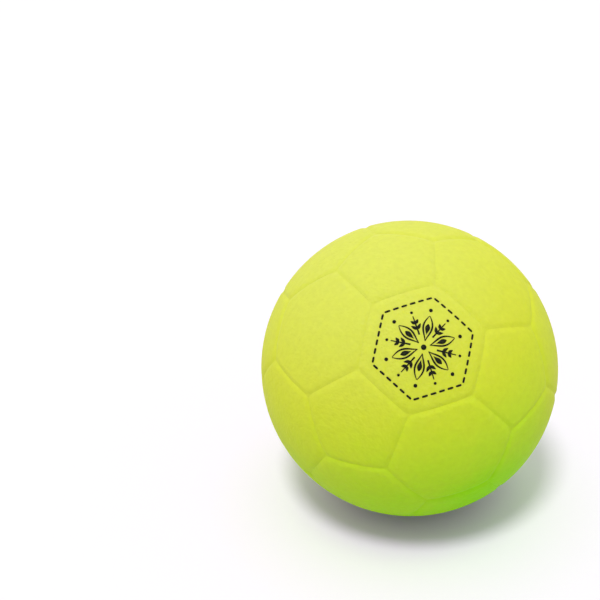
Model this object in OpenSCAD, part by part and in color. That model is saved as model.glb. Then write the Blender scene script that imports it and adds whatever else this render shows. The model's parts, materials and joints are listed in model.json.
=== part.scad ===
// Soft handball: one air-filled PVC skin with moulded panel creases, and the valve that closes it.
// The origin is the ball's centre, +Z is up as the ball lies, and -Y is the front.

/* [Ball] */
// Diameter over the panels
ball_d = 160; // [120:1:220]
// Thickness of the skin under a panel
skin_t = 2.2; // [1.8:0.1:3.5]

/* [Creases] */
// Width of a crease where it meets the panels
crease_w = 4; // [3:0.1:5]
// Width of the floor of a crease
crease_floor_w = 1.2; // [0.8:0.1:2]
// Depth of a crease
crease_depth = 0.8; // [0.4:0.05:1.2]
// How far the corners of the panels are rounded off
corner_round = 0.8; // [0.4:0.1:1.6]

/* [How the ball lies] */
// Direction in which the front panel faces, round the upright axis
front_turn = -83.3; // [-180:0.1:180]
// Angle between the front panel's axis and the upright axis
front_lean = 55.6; // [0:0.1:180]
// Turn of the panels about the front panel's axis
front_roll = 74.3; // [0:0.1:120]

/* [Valve] */
// Width of the valve's round face in the skin
face_d = 11; // [10.5:0.5:14]
// Height of the face's rim, from the ball's surface to the flange
face_h = 1.4; // [1:0.1:2]
// How far the flange reaches into the skin round it
flange_reach = 2; // [1:0.5:3]
// Thickness of the flange
flange_t = 1.4; // [1:0.1:2]
// Thickness of the valve's wall round the plug's bead
valve_wall = 1.5; // [1:0.1:1.8]
// Thickness of the valve's floor under the plug
valve_floor = 3; // [2:0.5:5]
// Width of the air hole in that floor
air_hole_d = 3; // [2:0.5:4]
// Thickness of the skin's boss round the flange
boss_wall = 2.5; // [1.5:0.1:4]
// Thickness of the skin's boss under the flange
boss_floor = 2; // [1.4:0.1:3]

/* [Plug] */
// How far the plug sits below the ball's surface
plug_recess = 0.3; // [0.2:0.1:0.8]
// Length of the plug
plug_len = 12; // [11:0.5:13.5]
// Width of the plug's shank
plug_d = 4.8; // [4.4:0.1:5.2]
// Width of the plug's head
plug_head_d = 6.8; // [6.2:0.1:7.6]
// Height of the plug's head
plug_head_h = 1; // [0.8:0.1:1.4]
// How far the bead that keeps the plug in stands out from the shank
bead_reach = 0.6; // [0.4:0.1:0.8]
// Height of the bead
bead_h = 1.6; // [1.2:0.1:2]
// Width of the needle hole
needle_hole_d = 2.2; // [2.1:0.1:2.6]
// Depth of the needle hole
needle_hole_depth = 8; // [6:0.5:9]
// Width of the funnel that leads a needle in
funnel_d = 3.4; // [2.8:0.1:4]
// Depth of the funnel
funnel_h = 0.6; // [0.4:0.1:0.7]

/* [Hidden] */
$fn = 180;
small_fn = 72;
cut_over = 1;
ball_r = ball_d / 2;
crease_slope = (crease_w - crease_floor_w) / 2 / crease_depth;
flange_d = face_d + 2 * flange_reach;
boss_d = flange_d + 2 * boss_wall;
boss_h = face_h + flange_t + boss_floor;
bead_d = plug_d + 2 * bead_reach;
stem_d = bead_d + 2 * valve_wall;
valve_len = plug_recess + plug_len + valve_floor;

// Pentagon centres of the 32-panel pattern, with the front panel, a hexagon, on +Z.
// Their angles from +Z are those of an icosahedron that stands on a face.
ring_near = acos(sqrt((5 + 2 * sqrt(5)) / 15));
ring_far = acos(sqrt((5 - 2 * sqrt(5)) / 15));
function on_sphere(lean, turn) = [sin(lean) * cos(turn), sin(lean) * sin(turn), cos(lean)];
half_pentagons = [for (i = [0:2]) each [on_sphere(ring_near, 120 * i), on_sphere(ring_far, 120 * i + 60)]];
pentagons = [for (side = [1, -1]) each side * half_pentagons];
neighbour_cos = 1 / sqrt(5);
function near(i, j) = i != j && abs(pentagons[i] * pentagons[j] - neighbour_cos) < 0.01;

// A corner of pentagon i, a third of the way to its neighbour j
function unit(v) = v / norm(v);
function corner(i, j) = unit(2 * pentagons[i] + pentagons[j]);

// A panel is its centre and its edges, each edge a pair of corners
pentagon_panels = [for (i = [0:11]) [
    pentagons[i],
    [for (j = [0:11], k = [j:11]) if (near(i, j) && near(i, k) && near(j, k)) [corner(i, j), corner(i, k)]]
]];
function hexagon_edges(t) = [for (s = [0:2]) let (i = t[s], j = t[(s + 1) % 3], k = t[(s + 2) % 3])
    each [[corner(i, j), corner(j, i)], [corner(i, j), corner(i, k)]]];
hexagon_panels = [for (i = [0:11], j = [i:11], k = [j:11]) if (near(i, j) && near(i, k) && near(j, k))
    [unit(pentagons[i] + pentagons[j] + pentagons[k]), hexagon_edges([i, j, k])]];
panels = concat(pentagon_panels, hexagon_panels);

// The angle at the ball's centre of a length along its surface
function angle_of(length) = length / ball_r * 180 / PI;

// Turns the pattern's own frame into the way the ball lies
module as_it_lies() {
    rotate([0, front_lean, front_turn])
        rotate([0, 0, front_roll])
            children();
}

// The valve's own frame: z = 0 at the ball's surface opposite the front panel, +Z outwards
module at_valve() {
    as_it_lies()
        rotate([180, 0, 0])
            translate([0, 0, ball_r])
                children();
}

// The plug's own frame: z = 0 at the top of its head, below the ball's surface
module at_plug() {
    at_valve()
        translate([0, 0, -plug_recess])
            children();
}

// Turns +Z to the direction up and +X to the direction out, which is square to it
module turned(up, out) {
    side = cross(up, out);
    multmatrix([[out.x, side.x, up.x, 0], [out.y, side.y, up.y, 0], [out.z, side.z, up.z, 0], [0, 0, 0, 1]])
        children();
}

// The room on one side of a crease: a wide cone round the axis of the crease's great circle,
// whose wall is the crease's flank. It starts short of the crease's middle, so panels never touch.
module beside_crease(centre, edge) {
    across = unit(cross(edge[0], edge[1]));
    start_h = crease_floor_w / 4;
    start_r = ball_r - crease_depth - (crease_floor_w / 2 - start_h) / crease_slope;
    turned(across * sign(across * centre), -unit(edge[0] + edge[1]))
        translate([0, 0, start_h])
            cylinder(h = ball_r, r1 = start_r, r2 = start_r + ball_r / crease_slope);
}

// A cone on the panel's own axis, which rounds off the panel's corners with a wall as steep as the creases'
module within_corners(centre, edge) {
    corner_lean = acos(centre * edge[0]);
    spread = sin(corner_lean) / sin(acos(centre * unit(edge[0] + edge[1])));
    top_lean = corner_lean - angle_of(crease_w / 2 * spread + corner_round);
    floor_lean = corner_lean - angle_of(crease_floor_w / 2 * spread + corner_round);
    top = ball_r * [sin(top_lean), cos(top_lean)];
    floor = (ball_r - crease_depth) * [sin(floor_lean), cos(floor_lean)];
    flare = (floor.x - top.x) / (top.y - floor.y);
    high = ball_r + cut_over;
    low = floor.y - skin_t;
    translate([0, 0, low])
        cylinder(h = high - low, r1 = floor.x + flare * skin_t, r2 = top.x - flare * (high - top.y));
}

// A round cap of the ball's surface, as wide as the panel is across its rounded corners
module panel_cap(centre, edge) {
    out = unit(cross(cross(centre, edge[0] + edge[1]), centre));
    intersection() {
        turned(out, -centre)
            sphere(d = ball_d);
        turned(centre, out)
            within_corners(centre, edge);
    }
}

// One panel, raised by the depth of the creases round it: its cap, cut back beside the first n edges
module panel(centre, edges, n) {
    if (n == 0)
        panel_cap(centre, edges[0]);
    else
        intersection() {
            panel(centre, edges, n - 1);
            beside_crease(centre, edges[n - 1]);
        }
}

// The air space, which the boss round the valve stands into
module air_space() {
    difference() {
        sphere(d = ball_d - 2 * skin_t);
        at_valve()
            translate([0, 0, -boss_h])
                cylinder(h = boss_h + cut_over, d = boss_d, $fn = small_fn);
    }
}

// Outer form of the valve body, in the valve's own frame: face, flange and stem
module valve_form() {
    rotate_extrude($fn = small_fn)
        polygon([
            [0, -valve_len],
            [stem_d / 2, -valve_len],
            [stem_d / 2, -face_h - flange_t],
            [flange_d / 2, -face_h - flange_t],
            [flange_d / 2, -face_h],
            [face_d / 2, -face_h],
            [face_d / 2, cut_over],
            [0, cut_over]
        ]);
}

// Outer form of the plug, in its own frame: head, shank and bead, with the head's top at the given height
module plug_form(top) {
    rotate_extrude($fn = small_fn)
        polygon([
            [0, -plug_len],
            [plug_d / 2, -plug_len],
            [plug_d / 2, -plug_len + bead_h],
            [bead_d / 2, -plug_len + 1.5 * bead_h],
            [plug_d / 2, -plug_len + 2 * bead_h],
            [plug_d / 2, -plug_head_h],
            [plug_head_d / 2, -plug_head_h],
            [plug_head_d / 2, top],
            [0, top]
        ]);
}

module ball_skin() {
    color([0.87, 0.89, 0.33])
        difference() {
            as_it_lies() {
                sphere(r = ball_r - crease_depth);
                for (p = panels)
                    panel(p[0], p[1], len(p[1]));
            }
            air_space();
            at_valve()
                valve_form();
        }
}

module valve_body() {
    color([0.80, 0.83, 0.30])
        difference() {
            intersection() {
                sphere(d = ball_d);
                at_valve()
                    valve_form();
            }
            at_plug()
                plug_form(plug_recess + cut_over);
            at_valve()
                translate([0, 0, -valve_len - cut_over])
                    cylinder(h = valve_floor + 2 * cut_over, d = air_hole_d, $fn = small_fn);
        }
}

module valve_plug() {
    color([0.25, 0.26, 0.24])
        at_plug()
            difference() {
                plug_form(0);
                translate([0, 0, -needle_hole_depth])
                    cylinder(h = needle_hole_depth + cut_over, d = needle_hole_d, $fn = small_fn);
                translate([0, 0, -funnel_h])
                    cylinder(h = funnel_h, d1 = needle_hole_d, d2 = funnel_d, $fn = small_fn);
            }
}

ball_skin();
valve_body();
valve_plug();
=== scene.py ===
# Soft handball, 160 mm across: a moulded PVC skin with 32 panels, an ink ornament on the front panel
# and a needle valve opposite it. Meshes are in metres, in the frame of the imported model, with the
# ball's middle at the origin. In the settings, lengths are in mm, and angles in degrees unless a note
# says radians.
import itertools
import json
import math
import bmesh
import bpy
import numpy as np
from mathutils import Matrix, Vector


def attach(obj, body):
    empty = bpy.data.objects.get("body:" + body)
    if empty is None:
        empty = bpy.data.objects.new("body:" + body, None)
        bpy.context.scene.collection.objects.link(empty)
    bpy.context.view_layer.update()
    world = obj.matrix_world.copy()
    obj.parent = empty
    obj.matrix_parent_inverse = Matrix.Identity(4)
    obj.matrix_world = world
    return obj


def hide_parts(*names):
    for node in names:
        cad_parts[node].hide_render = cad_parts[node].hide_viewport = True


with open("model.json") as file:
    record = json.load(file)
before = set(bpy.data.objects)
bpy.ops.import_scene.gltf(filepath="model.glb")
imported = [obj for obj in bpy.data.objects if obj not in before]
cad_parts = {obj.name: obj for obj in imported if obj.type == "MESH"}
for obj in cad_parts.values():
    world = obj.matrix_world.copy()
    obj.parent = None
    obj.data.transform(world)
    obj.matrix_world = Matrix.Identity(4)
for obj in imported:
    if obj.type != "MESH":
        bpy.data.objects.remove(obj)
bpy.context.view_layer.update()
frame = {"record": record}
mm = 0.001
mounts = {m["name"]: m for m in frame["record"]["mounts"]}
ballR = -mounts["resting_point"]["pos_m"][2]
valveAxis = np.array(Vector(mounts["needle_hole"]["axis"]).normalized())
frontAxis = -valveAxis
print("frame loaded, the ball is", round(2 * ballR / mm, 1), "mm across")

# Meshes


# Vectors divided by their length, along the last axis of an array
def unit(v):
    return v / np.linalg.norm(v, axis=-1, keepdims=True)


# The four corners of each cell of a grid, where a point's number is row * columns + column. Columns
# close on themselves. Seen from outside the piece they run anticlockwise round the first row, so that
# faces point outwards.
def gridFaces(rows, columns):
    row, column = np.mgrid[0:rows - 1, 0:columns]
    here, ahead = row * columns, (row + 1) * columns
    after = (column + 1) % columns
    cells = [here + column, ahead + column, ahead + after, here + after]
    return np.stack(cells, axis=-1).reshape(-1, 4)


# One mesh from several grids of points, each rows x columns x 3. A grid's points are numbered after
# those of the grids before it. Points within mergeWithin metres of each other are merged, which closes
# the poles and joins the grids.
def makePiece(name, grids, mergeWithin=1e-7):
    starts = np.cumsum([0] + [g.shape[0] * g.shape[1] for g in grids])
    points = np.concatenate([g.reshape(-1, 3) for g in grids])
    faces = np.concatenate([gridFaces(*g.shape[:2]) + s for g, s in zip(grids, starts)])
    mesh = bpy.data.meshes.new(name)
    mesh.vertices.add(len(points))
    mesh.vertices.foreach_set("co", points.ravel())
    mesh.loops.add(faces.size)
    mesh.loops.foreach_set("vertex_index", faces.ravel())
    mesh.polygons.add(len(faces))
    mesh.polygons.foreach_set("loop_start", np.arange(0, faces.size, 4))
    mesh.update(calc_edges=True)
    bm = bmesh.new()
    bm.from_mesh(mesh)
    bmesh.ops.remove_doubles(bm, verts=bm.verts, dist=mergeWithin)
    bm.to_mesh(mesh)
    bm.free()
    mesh.shade_smooth()
    piece = bpy.data.objects.new(name, mesh)
    bpy.context.scene.collection.objects.link(piece)
    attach(piece, "root")
    print("made", name, "with", len(mesh.vertices), "points")
    return piece


# Materials

mixShare, mixA, mixB = 0, 6, 7     # inputs of a Mix node that mixes colours
pvcTint = (0.9, 1.0, 0.35)         # how far red, green and blue run on in yellow PVC, times its scatter


# An sRGB hex colour as linear light: a channel up to 0.04045 is divided by 12.92, and a higher one
# is ((channel + 0.055) / 1.055) to the power of 2.4
def linear(hexColour):
    srgb = np.array([int(hexColour[i:i + 2], 16) for i in (1, 3, 5)]) / 255
    rgb = np.where(srgb <= 0.04045, srgb / 12.92, ((srgb + 0.055) / 1.055) ** 2.4)
    return (*rgb.tolist(), 1.0)


# Adds a node. A setting is a property of the node or the value of an input. A link feeds an input, from
# an output or from the first output that another node has in use.
def addNode(tree, kind, settings={}, links={}):
    made = tree.nodes.new("ShaderNode" + kind)
    for name, value in settings.items():
        if isinstance(name, str) and hasattr(made, name):
            setattr(made, name, value)
        else:
            made.inputs[name].default_value = value
    for name, source in links.items():
        if isinstance(source, bpy.types.Node):
            source = next(output for output in source.outputs if output.enabled)
        tree.links.new(source, made.inputs[name])
    return made


# A material with nothing in it but the sources of its patterns: the place on the object, and noises.
# A noise is given as the size of its blotches and its other settings, and its scale is 1 / size.
def newMaterial(name, noises={}):
    made = bpy.data.materials.new(name)
    made.use_nodes = True
    tree = made.node_tree
    tree.nodes.clear()
    source = {"place": addNode(tree, "TexCoord").outputs["Object"]}
    for kind, (size, settings) in noises.items():
        source[kind] = addNode(tree, "TexNoise", {"Scale": 1 / (size * mm), **settings},
                               {"Vector": source["place"]})
    print("made material", name)
    return made, tree, source


# Profiles round the valve's axis

aroundSteps = 72     # points round the valve body and the plug


# A profile with its corners rounded: points is a list of (radius, height, fillet), and each fillet is
# a quadratic curve that starts and ends its own size away from the corner
def rounded(points, steps=5):
    made = []
    flat = np.array([p[:2] for p in points])
    for i, here in enumerate(flat):
        fillet = points[i][2]
        if fillet == 0:
            made.append(here[None])
            continue
        back, ahead = flat[i - 1] - here, flat[(i + 1) % len(points)] - here
        start, end = here + fillet * unit(back), here + fillet * unit(ahead)
        t = np.linspace(0, 1, steps)[:, None]
        made.append((1 - t) ** 2 * start + 2 * t * (1 - t) * here + t ** 2 * end)
    return np.concatenate(made)


# A profile of (radius, height) carried round the axis, with heights from the ball's surface outwards:
# radius times a direction in away, which are square to the axis, plus (ball's radius + height) * axis
def turned(profile, away):
    radius, height = profile[:, 0, None, None] * mm, profile[:, 1, None, None] * mm
    return radius * away + (ballR + height) * valveAxis


# Directions evenly round the axis: cosine of the turn times one side of it, plus sine times the other
def evenlyAway():
    side = unit(np.cross(valveAxis, (0, 0, 1)))
    up = np.cross(valveAxis, side)
    turn = np.linspace(0, 2 * np.pi, aroundSteps, endpoint=False)[:, None]
    return np.cos(turn) * side + np.sin(turn) * up


# Height of the ball's own surface at a radius from the axis: sqrt(R * R - radius * radius) - R
def surfaceHeight(radius):
    return math.sqrt((ballR / mm) ** 2 - radius ** 2) - ballR / mm


# The plug

plugSettings = {
    "recess": 0.3,              # from the ball's surface down to the head
    "length": 12.0,
    "shankD": 4.8,
    "headD": 6.8,
    "headH": 1.0,
    "beadD": 6.0,               # bead that keeps the plug in, its height, and its middle's distance
    "beadH": 1.6,               # from the inner end
    "beadUp": 2.4,
    "holeD": 2.2,               # needle hole, and the funnel that leads into it
    "holeDepth": 8.0,
    "funnelD": 3.4,
    "funnelH": 0.6,
    "fillet": 0.2,              # rounding of the head and the funnel, the bead and the inner end
    "beadRound": 0.3,
    "endRound": 0.5,
    "dark": "#2c2d29",          # the rubber itself, and where it has bloomed
    "bloomed": "#484a43",
    "bloomFrom": 0.35,          # where in its noise the bloom starts, and where it is full
    "bloomTo": 0.75,
    "noises": {
        "bloom": (1.6, {"Detail": 4.0, "Roughness": 0.6}),   # patches, a few of them across the head
        "grit": (0.35, {"Detail": 2.0}),   # the mould's surface is finer, drawn coarser so that it shows
    },
    "gritHeight": 0.02,
    "roughness": (0.52, 0.74),
}

plugTop = -plugSettings["recess"]
headLow = plugTop - plugSettings["headH"]
plugEnd = plugTop - plugSettings["length"]
beadMid = plugEnd + plugSettings["beadUp"]


# EPDM rubber, compression moulded: dark grey and dull, with the greyish bloom that such rubber sweats
# out. The share of bloom in the colour is its noise, cut off at both ends, and the noise also sets
# the roughness.
def blackRubber(name, look):
    made, tree, source = newMaterial(name, look["noises"])
    share = addNode(tree, "MapRange", {"From Min": look["bloomFrom"], "From Max": look["bloomTo"]},
                    {"Value": source["bloom"]})
    colour = addNode(tree, "Mix", {"data_type": "RGBA", mixA: linear(look["dark"]),
                                   mixB: linear(look["bloomed"])}, {mixShare: share})
    low, high = look["roughness"]
    rough = addNode(tree, "MapRange", {"To Min": low, "To Max": high}, {"Value": source["bloom"]})
    bump = addNode(tree, "Bump", {"Distance": look["gritHeight"] * mm}, {"Height": source["grit"]})
    shader = addNode(tree, "BsdfPrincipled", {"IOR": 1.52, "Specular IOR Level": 0.4},
                     {"Base Color": colour, "Roughness": rough, "Normal": bump})
    addNode(tree, "OutputMaterial", {}, {"Surface": shader})
    return made


# The plug's half section, from the bottom of the needle hole up through the funnel, over the head, and
# down the shank and the bead to the inner end
def plugProfile():
    p = plugSettings
    shank, hole = p["shankD"] / 2, p["holeD"] / 2
    return rounded([
        (0, plugTop - p["holeDepth"], 0),
        (hole, plugTop - p["holeDepth"], 0),
        (hole, plugTop - p["funnelH"], p["fillet"]),
        (p["funnelD"] / 2, plugTop, p["fillet"]),
        (p["headD"] / 2, plugTop, p["fillet"]),
        (p["headD"] / 2, headLow, 0),
        (shank, headLow, 0),
        (shank, beadMid + p["beadH"] / 2, 0),
        (p["beadD"] / 2, beadMid, p["beadRound"]),
        (shank, beadMid - p["beadH"] / 2, 0),
        (shank, plugEnd, p["endRound"]),
        (0, plugEnd, 0),
    ])


# The valve body

valveSettings = {
    "faceD": 11.0,              # face that shows in the skin
    "faceH": 1.4,
    "flangeD": 15.0,            # flange under the skin, which keeps the body in
    "flangeT": 1.4,
    "stemD": 9.0,
    "length": 15.3,
    "airHoleD": 3.0,            # hole in the inner end, through which the air gets to the plug
    "lip": 0.35,                # rounding where the face meets the skin and the plug, of the inner end,
    "footRound": 0.8,           # and of the air hole
    "airHoleRound": 0.3,
    "green": "#a2d420",         # the two colours that its clouds mix, a lime of painted shade
    "yellow": "#b4e238",
    "noises": {
        "flow": (4.0, {"Detail": 2.0, "Distortion": 1.5}),   # clouds that the melt left as it flowed
        "polish": (0.5, {"Detail": 2.0}),   # the mould's polishing marks, drawn coarser so that they show
    },
    "polishHeight": 0.01,
    "roughness": (0.30, 0.44),
    "softness": 0.5,            # share of the light that sinks in, and how far it runs on
    "scatter": 0.6,
}


# Harder PVC, injection moulded: lime, painted shade like the skin's underside round it, smoother and
# glossier, with faint clouds. The clouds' noise mixes the two colours, and a finer one sets roughness
# and bump.
def mouldedPvc(name, look):
    made, tree, source = newMaterial(name, look["noises"])
    colour = addNode(tree, "Mix", {"data_type": "RGBA", mixA: linear(look["green"]),
                                   mixB: linear(look["yellow"])}, {mixShare: source["flow"]})
    low, high = look["roughness"]
    rough = addNode(tree, "MapRange", {"To Min": low, "To Max": high}, {"Value": source["polish"]})
    bump = addNode(tree, "Bump", {"Distance": look["polishHeight"] * mm}, {"Height": source["polish"]})
    shader = addNode(tree, "BsdfPrincipled",
                     {"IOR": 1.53, "Specular IOR Level": 0.4, "Subsurface Weight": look["softness"],
                      "Subsurface Radius": pvcTint, "Subsurface Scale": look["scatter"] * mm},
                     {"Base Color": colour, "Roughness": rough, "Normal": bump})
    addNode(tree, "OutputMaterial", {}, {"Surface": shader})
    return made


# The corners where the skin is moulded round the body: stem, flange and face, from inside outwards
def flangeCorners():
    v = valveSettings
    high = -v["faceH"]
    low = high - v["flangeT"]
    return [
        (v["stemD"] / 2, low, 0),
        (v["flangeD"] / 2, low, 0),
        (v["flangeD"] / 2, high, 0),
        (v["faceD"] / 2, high, 0),
    ]


# The body's half section, closed on itself: from the air hole up the plug's socket, over the face, which
# lies on the ball's surface, and down the outside to the inner end
def bodyProfile():
    v, p = valveSettings, plugSettings
    hole, shank = v["airHoleD"] / 2, p["shankD"] / 2
    inner, outer = p["headD"] / 2, v["faceD"] / 2
    ring = rounded([
        (hole, plugEnd, 0),
        (shank, plugEnd, 0),
        (shank, beadMid - p["beadH"] / 2, 0),
        (p["beadD"] / 2, beadMid, 0),
        (shank, beadMid + p["beadH"] / 2, 0),
        (shank, headLow, 0),
        (inner, headLow, 0),
        (inner, surfaceHeight(inner), v["lip"]),
        (outer, surfaceHeight(outer), v["lip"]),
        *reversed(flangeCorners()),
        (v["stemD"] / 2, -v["length"], v["footRound"]),
        (hole, -v["length"], v["airHoleRound"]),
    ])
    return np.concatenate([ring, ring[:1]])


# The skin

skinSettings = {
    "thickness": 2.2,
    "roll": 74.3,               # turn of the pattern about the front panel's axis
    "creaseHalf": 3.1,          # from the middle of a crease to the flat of the panel
    "creaseDepth": 0.8,
    "creasePower": 1.8,         # the higher, the narrower the crease at its bottom
    "cornerRound": 1.1,
    "junctionDepth": 0.10,      # how much deeper the creases are where three meet, and how far round
    "junctionReach": 2.2,
    "bossD": 20.0,              # boss inside, which holds the valve body
    "bossH": 4.8,
    "bossRound": 0.5,
    "edgeSteps": 20,            # points along an edge, and how much closer they stand at its ends
    "crowding": 0.6,
    "flatRings": 12,            # rings of points over the flat of a panel, and over a band along its
    "bandRings": 12,            # outline, where they stand closer to it by a power
    "band": 4.0,
    "bandPower": 1.5,
    "innerSteps": 40,           # from the far side of the inner surface to the boss
    "paintedShadeLime": "#92f408",          # painted shade: the yellow as it looks underneath, a darker lime
    "yellow": "#dde43f",        # the dye as it looks lit, from the upper half on
    "paintedShadeAlong": (-0.3, 0.0, 1.0),      # way from the painted shade to the yellow, and where on it, from the ball's middle
    "paintedShadeAt": -104.0,
    "yellowAt": 38.0,
    "paintedLightAndDyePatches": (                # where the colour is uneven: middle, reach, and shift along that way
        # painted shade, greener low on the right
        ((38, -54, -43), 38, -26.0),
        # painted warm reflection on the right side
        ((78, -14, -4), 50, 34.0),
        # uneven dye, as is the next
        ((-52, 30, -53), 42, 12.0),
        ((20, 68, -36), 46, -10.0),
    ),
    "paintedHighlight": "#dddcb8",          # pale painted highlight on the side that the light falls on
    "highlightShare": 0.20,
    "highlightAlong": (-0.24, -0.5, 1.0),
    "highlightFrom": 36.0,
    "highlightTo": 96.0,
    "noises": {
        "mottle": (14.0, {"Detail": 2.0}),   # soft blotches of dye
        "cloud": (3.0, {"Detail": 3.0}),     # clouding in the skin
        "grain": (1.3, {"Detail": 2.0}),     # the mould's grit is 0.3 mm, drawn coarser so that it shows
        "peel": (2.0, {"Detail": 1.0}),      # wider unevenness of soft PVC as it gels
    },
    "mottleShift": 7.0,         # how far a blotch shifts the dye
    "cloudShare": 0.06,         # share of light and dark in the clouding
    "grainHeight": 0.22,
    "peelHeight": 0.30,
    "roughness": (0.50, 0.62),
    "specular": 0.03,           # the grain leaves hardly any gloss
    "scatter": 1.0,             # how far light runs on under the surface
}


# Soft plasticised PVC, rotation moulded in a blasted mould: a saturated colour that light sinks into
# a little, with a fine matte grain and no clear gloss. Painted shade turns its yellow to a darker lime
# underneath. The share of yellow is a smooth step of the distance along one way, shifted by the mottle
# and by each patch. A pale painted highlight is a smooth step along another way, and the clouding
# multiplies the colour.
def softPvc(name, look):
    made, tree, source = newMaterial(name, look["noises"])
    place = source["place"]
    paintedShadeAxis, highlightAxis = (Vector(look[way]).normalized() for way in ("paintedShadeAlong", "highlightAlong"))
    # Painted shade: the colour runs from yellow to a darker lime along this way, towards the underside
    along = addNode(tree, "VectorMath", {"operation": "DOT_PRODUCT", 1: paintedShadeAxis}, {0: place})
    most = look["mottleShift"] * mm
    shift = addNode(tree, "MapRange", {"To Min": -most, "To Max": most}, {"Value": source["mottle"]})
    moved = addNode(tree, "Math", {"operation": "ADD"}, {0: along, 1: shift})
    # The patches move the colour: the first is painted shade, the second a painted warm reflection, the
    # last two uneven dye
    for middle, reach, change in look["paintedLightAndDyePatches"]:
        away = addNode(tree, "VectorMath", {"operation": "DISTANCE", 1: Vector(middle) * mm}, {0: place})
        paintedLightAndDyePatch = addNode(tree, "MapRange", {"interpolation_type": "SMOOTHSTEP", "From Max": reach * mm,
                                           "To Min": change * mm, "To Max": 0.0}, {"Value": away})
        moved = addNode(tree, "Math", {"operation": "ADD"}, {0: moved, 1: paintedLightAndDyePatch})
    yellowShare = addNode(tree, "MapRange", {"interpolation_type": "SMOOTHSTEP",
                                             "From Min": look["paintedShadeAt"] * mm,
                                             "From Max": look["yellowAt"] * mm}, {"Value": moved})
    dyeWithShade = addNode(tree, "Mix", {"data_type": "RGBA", mixA: linear(look["paintedShadeLime"]),
                                mixB: linear(look["yellow"])}, {mixShare: yellowShare})

    # Painted highlight, paler towards the light
    towardHighlight = addNode(tree, "VectorMath", {"operation": "DOT_PRODUCT", 1: highlightAxis}, {0: place})
    highlightShare = addNode(tree, "MapRange", {"interpolation_type": "SMOOTHSTEP",
                                           "From Min": look["highlightFrom"] * mm,
                                           "From Max": look["highlightTo"] * mm,
                                           "To Max": look["highlightShare"]}, {"Value": towardHighlight})
    withHighlight = addNode(tree, "Mix", {"data_type": "RGBA", mixB: linear(look["paintedHighlight"])},
                   {mixShare: highlightShare, mixA: dyeWithShade})
    tone = addNode(tree, "MapRange", {"To Min": 1 - look["cloudShare"], "To Max": 1 + look["cloudShare"]},
                   {"Value": source["cloud"]})
    colour = addNode(tree, "Mix", {"data_type": "RGBA", "blend_type": "MULTIPLY", mixShare: 1.0},
                     {mixA: withHighlight, mixB: tone})

    low, high = look["roughness"]
    rough = addNode(tree, "MapRange", {"To Min": low, "To Max": high}, {"Value": source["grain"]})
    wide = addNode(tree, "Bump", {"Distance": look["peelHeight"] * mm}, {"Height": source["peel"]})
    fine = addNode(tree, "Bump", {"Distance": look["grainHeight"] * mm},
                   {"Height": source["grain"], "Normal": wide})
    shader = addNode(tree, "BsdfPrincipled",
                     {"IOR": 1.53, "Specular IOR Level": look["specular"], "Subsurface Weight": 1.0,
                      "Subsurface Radius": pvcTint, "Subsurface Scale": look["scatter"] * mm},
                     {"Base Color": colour, "Roughness": rough, "Normal": fine})
    addNode(tree, "OutputMaterial", {}, {"Surface": shader})
    return made


# Twelve centres of the pentagons, in the frame where the front panel, a hexagon, faces +Z: the corners
# of an icosahedron that stands on a face. Three lean from +Z by the arc cosine of
# sqrt((5 + 2 * sqrt(5)) / 15), three by the same with a minus, and the rest lie opposite these.
def pentagonCentres():
    lean = np.arccos(np.sqrt((5 + np.array([[2], [-2]]) * math.sqrt(5)) / 15)).repeat(3, axis=1)
    turn = np.radians([[0, 120, 240], [60, 180, 300]])
    half = np.stack([np.sin(lean) * np.cos(turn), np.sin(lean) * np.sin(turn), np.cos(lean)], axis=-1)
    half = half.reshape(-1, 3)
    return np.concatenate([half, -half])


# Turns the pattern: the roll about +Z, then a lean about +Y and a turn about +Z that bring +Z to the
# front panel's axis
def patternTurn():
    x, y, z = frontAxis
    turn = Matrix.Rotation(math.atan2(y, x), 3, "Z")
    lean = Matrix.Rotation(math.acos(z), 3, "Y")
    return np.array(turn @ lean @ Matrix.Rotation(math.radians(skinSettings["roll"]), 3, "Z"))


# Corners in order round a panel's centre: sorted by the arc tangent of how far each lies along two
# directions square to the centre's
def inTurn(centre, corners):
    side = unit(np.cross(centre, corners[0]))
    up = np.cross(side, centre)
    return corners[np.argsort(np.arctan2(corners @ side, corners @ up))]


# Every panel as its centre and its corners, anticlockwise seen from outside. A corner lies a third of
# the way from one pentagon's centre to its neighbour's, and neighbours have the product 1 / sqrt(5).
# A hexagon lies between three pentagons that are all neighbours, with its centre amid theirs.
def findPanels():
    pent = pentagonCentres() @ patternTurn().T
    near = np.isclose(pent @ pent.T, 1 / math.sqrt(5), atol=0.01)
    found = [(centre, unit(2 * centre + pent[beside])) for centre, beside in zip(pent, near)]
    for three in itertools.combinations(range(len(pent)), 3):
        if all(near[i, j] for i, j in itertools.combinations(three, 2)):
            corners = [unit(2 * pent[i] + pent[j]) for i, j in itertools.permutations(three, 2)]
            found.append((unit(pent[list(three)].sum(axis=0)), np.array(corners)))
    return [(centre, inTurn(centre, corners)) for centre, corners in found]


# Points along a panel's outline: each edge is an arc between two corners, a sum of them weighted by
# sines of the angle left and the angle gone, stepped more closely towards its ends
def outline(corners):
    s = np.arange(skinSettings["edgeSteps"]) / skinSettings["edgeSteps"]
    s = s - skinSettings["crowding"] * np.sin(2 * np.pi * s) / (2 * np.pi)
    ahead = np.roll(corners, -1, axis=0)
    angle = np.arccos((corners * ahead).sum(axis=1))[:, None, None]
    s = s[None, :, None]
    arc = np.sin((1 - s) * angle) * corners[:, None] + np.sin(s * angle) * ahead[:, None]
    return (arc / np.sin(angle)).reshape(-1, 3)


# Rings of a panel, as shares of the way from its centre to its outline: even over the flat, and in the
# band the distance to the outline is a power of the steps left
def ringShares(bandShare):
    flat = np.linspace(0, 1 - bandShare, skinSettings["flatRings"], endpoint=False)
    left = np.linspace(1, 0, skinSettings["bandRings"])
    return np.concatenate([flat, 1 - bandShare * left ** skinSettings["bandPower"]])


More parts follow.
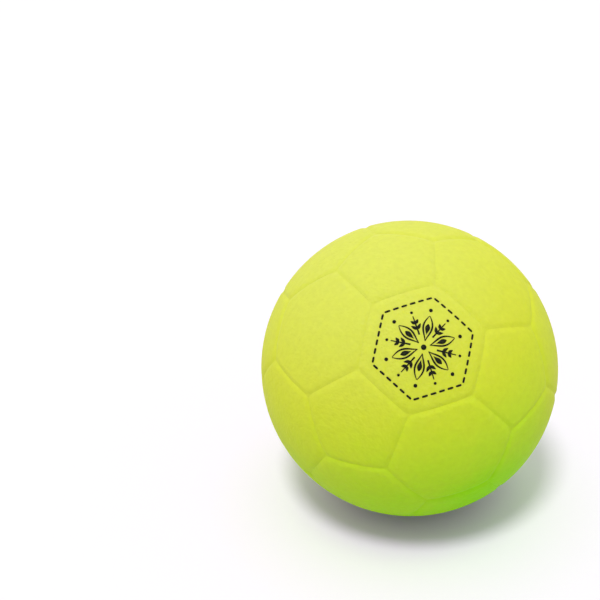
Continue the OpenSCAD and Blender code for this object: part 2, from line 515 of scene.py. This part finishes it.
# Directions square to a panel's axis, towards each point of its outline: the point less the part of it
# that lies along the axis, divided by its length
def squareTo(centre, rim):
    return unit(rim - (rim @ centre)[:, None] * centre)


# Directions over a panel: t goes from the centre, or the edge of a hole there, to the outline. The
# angle from the centre grows in step with t, along the great circle to each point of the outline.
def overPanel(centre, rim, holeAngle, t):
    reach = np.arccos(rim @ centre)
    angle = holeAngle + (reach - holeAngle) * t[:, None]
    return np.cos(angle)[..., None] * centre + np.sin(angle)[..., None] * squareTo(centre, rim)


# Distance of the surface from the ball's middle in each direction: the ball's radius less the crease's
# depth, which falls off as a power of the distance to the nearest edge. That distance is a smooth
# minimum, the log of a sum of exponentials, which rounds the panel's corners. The creases are a little
# deeper where three meet, by a bell curve about each corner.
def surfaceRadius(directions, corners):
    shape = skinSettings
    planes = unit(np.cross(corners, np.roll(corners, -1, axis=0)))
    distance = ballR / mm * np.arcsin(directions @ planes.T)
    nearest = -shape["cornerRound"] * np.log(np.exp(-distance / shape["cornerRound"]).sum(axis=-1))
    share = np.clip(nearest / shape["creaseHalf"], 0, 1)
    fromCorner = ballR / mm * np.linalg.norm(directions[..., None, :] - corners, axis=-1)
    junction = np.exp(-(fromCorner / shape["junctionReach"]) ** 2).sum(axis=-1)
    crease = (1 - share) ** shape["creasePower"]
    depth = shape["creaseDepth"] * crease + shape["junctionDepth"] * junction
    return ballR - depth * mm


# The skin's inner side: the inner sphere from its far side, the boss, and the seat of the valve body
# up to the lip, which ends on the ball's surface
def seatProfile():
    s, v = skinSettings, valveSettings
    innerR = ballR / mm - s["thickness"]
    angle = np.linspace(np.pi, math.asin(s["bossD"] / 2 / innerR), s["innerSteps"])
    sphere = np.stack([innerR * np.sin(angle), innerR * np.cos(angle) - ballR / mm], axis=-1)
    lipR = v["faceD"] / 2 + v["lip"]
    seat = rounded([
        (s["bossD"] / 2, sphere[-1, 1], 0),
        (s["bossD"] / 2, -s["bossH"], s["bossRound"]),
        (v["stemD"] / 2, -s["bossH"], 0),
        *flangeCorners(),
        (v["faceD"] / 2, surfaceHeight(lipR), v["lip"]),
        (lipR, surfaceHeight(lipR), 0),
    ])
    return np.concatenate([sphere[:-1], seat])


# The whole skin: 32 panels outside, each the directions over it times the surface's distance there. In
# the one opposite the front there is a hole for the valve, and the inner side ends at its edge.
def makeSkin():
    grids = []
    found = findPanels()
    atValve = np.argmax([centre @ valveAxis for centre, corners in found])
    holeAngle = math.asin((valveSettings["faceD"] / 2 + valveSettings["lip"]) * mm / ballR)
    for i, (centre, corners) in enumerate(found):
        rim = outline(corners)
        halfway = math.acos(centre @ unit(corners[0] + corners[1]))
        shares = ringShares(skinSettings["band"] * mm / ballR / halfway)
        directions = overPanel(centre, rim, holeAngle if i == atValve else 0.0, shares)
        grids.append(directions * surfaceRadius(directions, corners)[..., None])
        if i == atValve:
            grids.append(turned(seatProfile(), squareTo(centre, rim)))
    return makePiece("skin", grids)


# The ornament printed on the front panel

ornamentSettings = {
    "film": 0.05,               # how far the ink stands above the skin, and reaches below it
    "hub": 2.6,                 # disc in the middle
    "petal": (2.9, 15.6),       # where a petal starts and ends, from the middle
    "petalBow": 0.27,           # radians round the middle that its outline bows out, and the share by
    "petalTaper": 0.35,         # which it bows less towards its tip
    "petalLine": 0.85,          # width of its line halfway, and the share of that at its ends
    "petalEnds": 1 / 3,
    "drop": (5.8, 5.8, 2.3),    # start, length and width of the drop in a petal
    "dropLean": 1.5,            # above 1 a drop or leaf is widest near its tip, and below 1 near its foot
    "petalDot": (18.4, 1.8),    # middle and size of the disc beyond a petal
    "sprig": (6.2, 15.8),       # where a sprig's stalk starts and ends, and its width there
    "sprigLine": (0.85, 0.45),
    "leaves": ((8.9, 3.5), (11.7, 2.8)),     # where each pair of leaves starts, and their length
    "leafWidth": 1.5,
    "leafLean": 0.8,
    "leafTurn": 0.75,           # radians that a leaf is turned from its stalk
    "sprigDot": (17.6, 1.35),
    "hexagon": 22.0,            # from the middle to a row of dashes
    "dashes": 6,                # in a row
    "dash": (2.9, 1.0),         # length and width
    "dashPower": 6,             # the higher, the squarer its ends
    "lineSteps": (0.01, 25),    # share of a line, leaf or disc and dash left out at each end, and steps
    "leafSteps": (0.03, 13),
    "roundSteps": (0.06, 13),
    "black": "#10130c",
    "thin": "#3a4014",          # where the ink is thin and the yellow shows through
    "thinFrom": 0.50,           # where in its noise the ink starts to thin, and where it is thinnest
    "thinTo": 0.85,
    "noises": {"film": (1.2, {"Detail": 4.0, "Roughness": 0.65})},   # thick and thin spots of the ink
    "roughness": (0.42, 0.60),
}


# Solvent ink, pad printed: near black and satin, a little thinner in places. The share of the thin
# colour is the noise, cut off at both ends, and the noise also sets the roughness.
def printInk(name, look):
    made, tree, source = newMaterial(name, look["noises"])
    share = addNode(tree, "MapRange", {"From Min": look["thinFrom"], "From Max": look["thinTo"]},
                    {"Value": source["film"]})
    colour = addNode(tree, "Mix", {"data_type": "RGBA", mixA: linear(look["black"]),
                                   mixB: linear(look["thin"])}, {mixShare: share})
    low, high = look["roughness"]
    rough = addNode(tree, "MapRange", {"To Min": low, "To Max": high}, {"Value": source["film"]})
    shader = addNode(tree, "BsdfPrincipled", {"IOR": 1.5, "Specular IOR Level": 0.12},
                     {"Base Color": colour, "Roughness": rough})
    addNode(tree, "OutputMaterial", {}, {"Surface": shader})
    return made


# The directions of the front panel's plan, x to the right and y up as seen from in front: the cross
# product of upright and the panel's axis, and that of the axis and x
def panelSides():
    right = unit(np.cross((0, 0, 1), frontAxis))
    return right, np.cross(frontAxis, right)


# Points of the plan laid on the ball along great circles: the angle from the panel's axis is the
# distance in the plan over the ball's radius, and high lifts them off the surface
def onPanel(plan, high):
    right, up = panelSides()
    tiny = 1e-9     # keeps the middle, which has no direction, from a division by 0
    reach = np.maximum(np.linalg.norm(plan, axis=-1, keepdims=True), tiny)
    toward = (plan[..., :1] * right + plan[..., 1:] * up) / reach
    angle = reach * mm / ballR
    return (ballR + high[..., None] * mm) * (np.cos(angle) * frontAxis + np.sin(angle) * toward)


# A stroke of ink along a path of the plan: at each point a flat box across the path's gradient, half the
# width to either side of the path and a film's height over and under the skin. It ends in two points.
def inkStroke(path, width):
    across = np.gradient(path, axis=0)[:, ::-1] * (-1, 1)
    across = unit(across) * (width / 2)[:, None]
    sides = np.stack([path - across, path + across, path + across, path - across], axis=1)
    high = np.array([1, 1, -1, -1]) * ornamentSettings["film"] * np.ones((len(path), 1))
    tips = [np.repeat(path[None, [i]], 4, axis=1) for i in (0, -1)]
    sides = np.concatenate([tips[0], sides, tips[1]])
    return onPanel(sides, np.pad(high, ((1, 1), (0, 0))))


# Even shares of the way along a stroke, from a small share left out at its start to the same at its end
def strokeShares(name):
    left, steps = ornamentSettings[name]
    return np.linspace(left, 1 - left, steps)


# A place of the plan from its distance and direction: distance times (cosine, sine)
def polar(distance, direction):
    return np.stack([distance * np.cos(direction), distance * np.sin(direction)], axis=-1)


# A leaf or drop: straight along its middle, and its width is the sine of pi times t to the power lean
def leaf(start, direction, length, widest, lean):
    t = strokeShares("leafSteps")
    return inkStroke(start + length * polar(t, direction), widest * np.sin(np.pi * t ** lean))


# A disc, drawn as a short stroke: t is a cosine, and the width is the circle's chord, sqrt(1 - t * t)
def disc(middle, across):
    t = -np.cos(strokeShares("roundSteps") * np.pi)
    return inkStroke(middle + across / 2 * t[:, None] * (1, 0), across * np.sqrt(1 - t ** 2))


# A dash with rounded ends: as a disc, but longer, and with a higher power in place of the square
def dash(middle, direction):
    length, width = ornamentSettings["dash"]
    t = -np.cos(strokeShares("roundSteps") * np.pi)
    path = middle + length / 2 * polar(t, direction)
    return inkStroke(path, width * (1 - t ** ornamentSettings["dashPower"]) ** 0.5)


# One sixth of the ornament, turned to a corner of the panel. There is a petal, whose two lines bow out
# by a sine, with a drop in it and a disc beyond. Half a sixth further on is a sprig with pairs of
# leaves and a disc, and a row of dashes square to it, as long as a side of the hexagon.
def ornamentSixth(corner):
    o = ornamentSettings
    t = strokeShares("lineSteps")
    foot, tip = o["petal"]
    bow = o["petalBow"] * np.sin(np.pi * t) * (1 - o["petalTaper"] * t)
    line = o["petalLine"] * (o["petalEnds"] + (1 - o["petalEnds"]) * np.sin(np.pi * t))
    made = [inkStroke(polar(foot + (tip - foot) * t, corner + side * bow), line) for side in (-1, 1)]
    dropAt, dropLength, dropWidth = o["drop"]
    made.append(leaf(polar(dropAt, corner), corner, dropLength, dropWidth, o["dropLean"]))
    dotAt, dotSize = o["petalDot"]
    made.append(disc(polar(dotAt, corner), dotSize))

    halfSixth = math.pi / 6
    between = corner + halfSixth
    foot, tip = o["sprig"]
    stalk = polar(foot + (tip - foot) * t, between)
    made.append(inkStroke(stalk, np.interp(t, (0, 1), o["sprigLine"])))
    for at, length in o["leaves"]:
        for direction in (between - o["leafTurn"], between + o["leafTurn"]):
            made.append(leaf(polar(at, between), direction, length, o["leafWidth"], o["leafLean"]))
    dotAt, dotSize = o["sprigDot"]
    made.append(disc(polar(dotAt, between), dotSize))

    along = between + math.pi / 2
    side = 2 * o["hexagon"] * math.tan(halfSixth)
    for offset in side * ((np.arange(o["dashes"]) + 0.5) / o["dashes"] - 0.5):
        made.append(dash(polar(o["hexagon"], between) + polar(offset, along), along))
    return made


# The whole ornament: a sixth for each corner's direction, which is the arc tangent of its place in the
# plan, and a disc in the middle
def makeOrnament():
    right, up = panelSides()
    corners = max(findPanels(), key=lambda panel: panel[0] @ frontAxis)[1]
    grids = [grid for angle in np.arctan2(corners @ up, corners @ right) for grid in ornamentSixth(angle)]
    grids.append(disc(np.zeros(2), ornamentSettings["hub"]))
    return makePiece("panelOrnament", grids)


# The pieces

skin = makeSkin()
skin.data.materials.append(softPvc("softPvcSkin", skinSettings))
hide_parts("ball_skin")

away = evenlyAway()
valveBody = makePiece("valveBody", [turned(bodyProfile(), away)])
valveBody.data.materials.append(mouldedPvc("mouldedPvcValve", valveSettings))
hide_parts("valve_body")

valvePlug = makePiece("valvePlug", [turned(plugProfile(), away)])
valvePlug.data.materials.append(blackRubber("blackRubberPlug", plugSettings))
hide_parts("valve_plug")

panelOrnament = makeOrnament()
panelOrnament.data.materials.append(printInk("padPrintInk", ornamentSettings))

# Camera

cameraSettings = {
    "distance": 534.8,          # from the ball's middle
    "elevation": 28,
    "lens": 58.016,
    "sensor": 36.0,
    "picture": 600,             # pixels across
    "ballAt": (407.2, 366.8),   # pixel on which the ball's middle falls
    "clip": (10, 100000),       # nearest and farthest that it sees
}


# The camera's place is its distance times (0, -cosine, sine) of its elevation. It looks at the ball's
# middle and is then turned until that falls on its pixel. In the camera's own frame a pixel lies at
# (x, y, -focal), and the focal length in pixels is lens / sensor * picture.
def makeCamera():
    c = cameraSettings
    data = bpy.data.cameras.new("camera")
    data.sensor_width = c["sensor"]
    data.lens = c["lens"]
    data.clip_start, data.clip_end = (end * mm for end in c["clip"])
    camera = bpy.data.objects.new("camera", data)
    bpy.context.scene.collection.objects.link(camera)
    elevation = math.radians(c["elevation"])
    back = Vector((0, -math.cos(elevation), math.sin(elevation)))
    half = c["picture"] / 2
    focal = c["lens"] / data.sensor_width * c["picture"]
    ballDirection = Vector((c["ballAt"][0] - half, half - c["ballAt"][1], -focal)).normalized()
    facing = (-back).to_track_quat("-Z", "Y")
    camera.rotation_mode = "QUATERNION"
    camera.rotation_quaternion = facing @ ballDirection.rotation_difference(Vector((0, 0, -1)))
    camera.location = back * (c["distance"] * mm)
    bpy.context.scene.camera = camera
    print("placed camera", c["distance"], "mm away and", c["elevation"], "degrees up")


# Floor and light

floorSettings = {
    "reach": 30000,             # from its middle to each side
    "lit": (0.6, 0.6, 0.6),     # how much light it gives back to the ball
    "seen": (1.02, 0.96, 1.07),         # how it looks itself: white, and under the ball a darker magenta, painted shadow that deepens its shadow and takes the ball's green glow out of it
    "paintedShadowSeen": (0.85, 0.57, 1.08),     # takes the ball's green glow out of its shadow
    "nearTo": 30,               # where these two meet, from the point that the ball rests on
    "farFrom": 76,
}

lightSettings = {
    "sunFrom": (-0.10, -0.46, 1.0),
    "sun": 1.42,
    "sunWidth": 13,             # the wider, the softer the shadow
    "around": 0.64,             # light from all round
}


# 1 where a surface is seen, straight or in a reflection or through glass, and 0 where it only gives
# light: the highest of the three kinds of ray
def showsBackground(tree):
    rays = addNode(tree, "LightPath").outputs
    either = addNode(tree, "Math", {"operation": "MAXIMUM"},
                     {0: rays["Is Camera Ray"], 1: rays["Is Glossy Ray"]})
    return addNode(tree, "Math", {"operation": "MAXIMUM"}, {0: either, 1: rays["Is Transmission Ray"]})


# A sheet of paper under the ball, dull all over. Where it is seen, its colour is a smooth step of the
# distance from the resting point, painted shadow near it and white further out, and where it only
# gives light, it is one grey.
def makeFloor():
    look = floorSettings
    far = look["reach"] * mm
    corners = [(x * far, y * far, -ballR) for x, y in ((-1, -1), (1, -1), (1, 1), (-1, 1))]
    mesh = bpy.data.meshes.new("floor")
    mesh.from_pydata(corners, [], [(0, 1, 2, 3)])
    floor = bpy.data.objects.new("floor", mesh)
    bpy.context.scene.collection.objects.link(floor)
    made, tree, source = newMaterial("paperFloor")
    away = addNode(tree, "VectorMath", {"operation": "DISTANCE", 1: (0, 0, -ballR)},
                   {0: source["place"]})
    share = addNode(tree, "MapRange", {"interpolation_type": "SMOOTHSTEP", "From Min": look["nearTo"] * mm,
                                       "From Max": look["farFrom"] * mm}, {"Value": away})
    # painted shadow near the resting point, white further out
    seen = addNode(tree, "Mix", {"data_type": "RGBA", mixA: (*look["paintedShadowSeen"], 1.0),
                                 mixB: (*look["seen"], 1.0)}, {mixShare: share})
    tone = addNode(tree, "Mix", {"data_type": "RGBA", mixA: (*look["lit"], 1.0)},
                   {mixShare: showsBackground(tree), mixB: seen})
    matte = addNode(tree, "BsdfDiffuse", {}, {"Color": tone})
    addNode(tree, "OutputMaterial", {}, {"Surface": matte})
    floor.data.materials.append(made)
    print("made floor", round(ballR / mm, 2), "mm below the ball's middle")


# A white world whose strength is 1 where it is seen, and lower where it gives light
def makeWorld():
    world = bpy.data.worlds.new("studio")
    bpy.context.scene.world = world
    world.use_nodes = True
    tree = world.node_tree
    tree.nodes.clear()
    level = addNode(tree, "MapRange", {"To Min": lightSettings["around"], "To Max": 1.0},
                    {"Value": showsBackground(tree)})
    sky = addNode(tree, "Background", {"Color": (1, 1, 1, 1)}, {"Strength": level})
    addNode(tree, "OutputWorld", {}, {"Surface": sky})
    print("made world")


# One wide sun, a soft lamp a long way off. It stands in the direction that it shines from, and its -Z is
# turned back along that.
def makeSun():
    data = bpy.data.lights.new("topLamp", "SUN")
    data.energy = lightSettings["sun"]
    data.angle = math.radians(lightSettings["sunWidth"])
    lamp = bpy.data.objects.new("topLamp", data)
    lamp.location = lightSettings["sunFrom"]
    lamp.rotation_mode = "QUATERNION"
    lamp.rotation_quaternion = (-Vector(lightSettings["sunFrom"])).to_track_quat("-Z", "Y")
    bpy.context.scene.collection.objects.link(lamp)
    print("made sun")


makeCamera()
makeFloor()
makeWorld()
makeSun()
bpy.context.scene.view_settings.view_transform = "Standard"
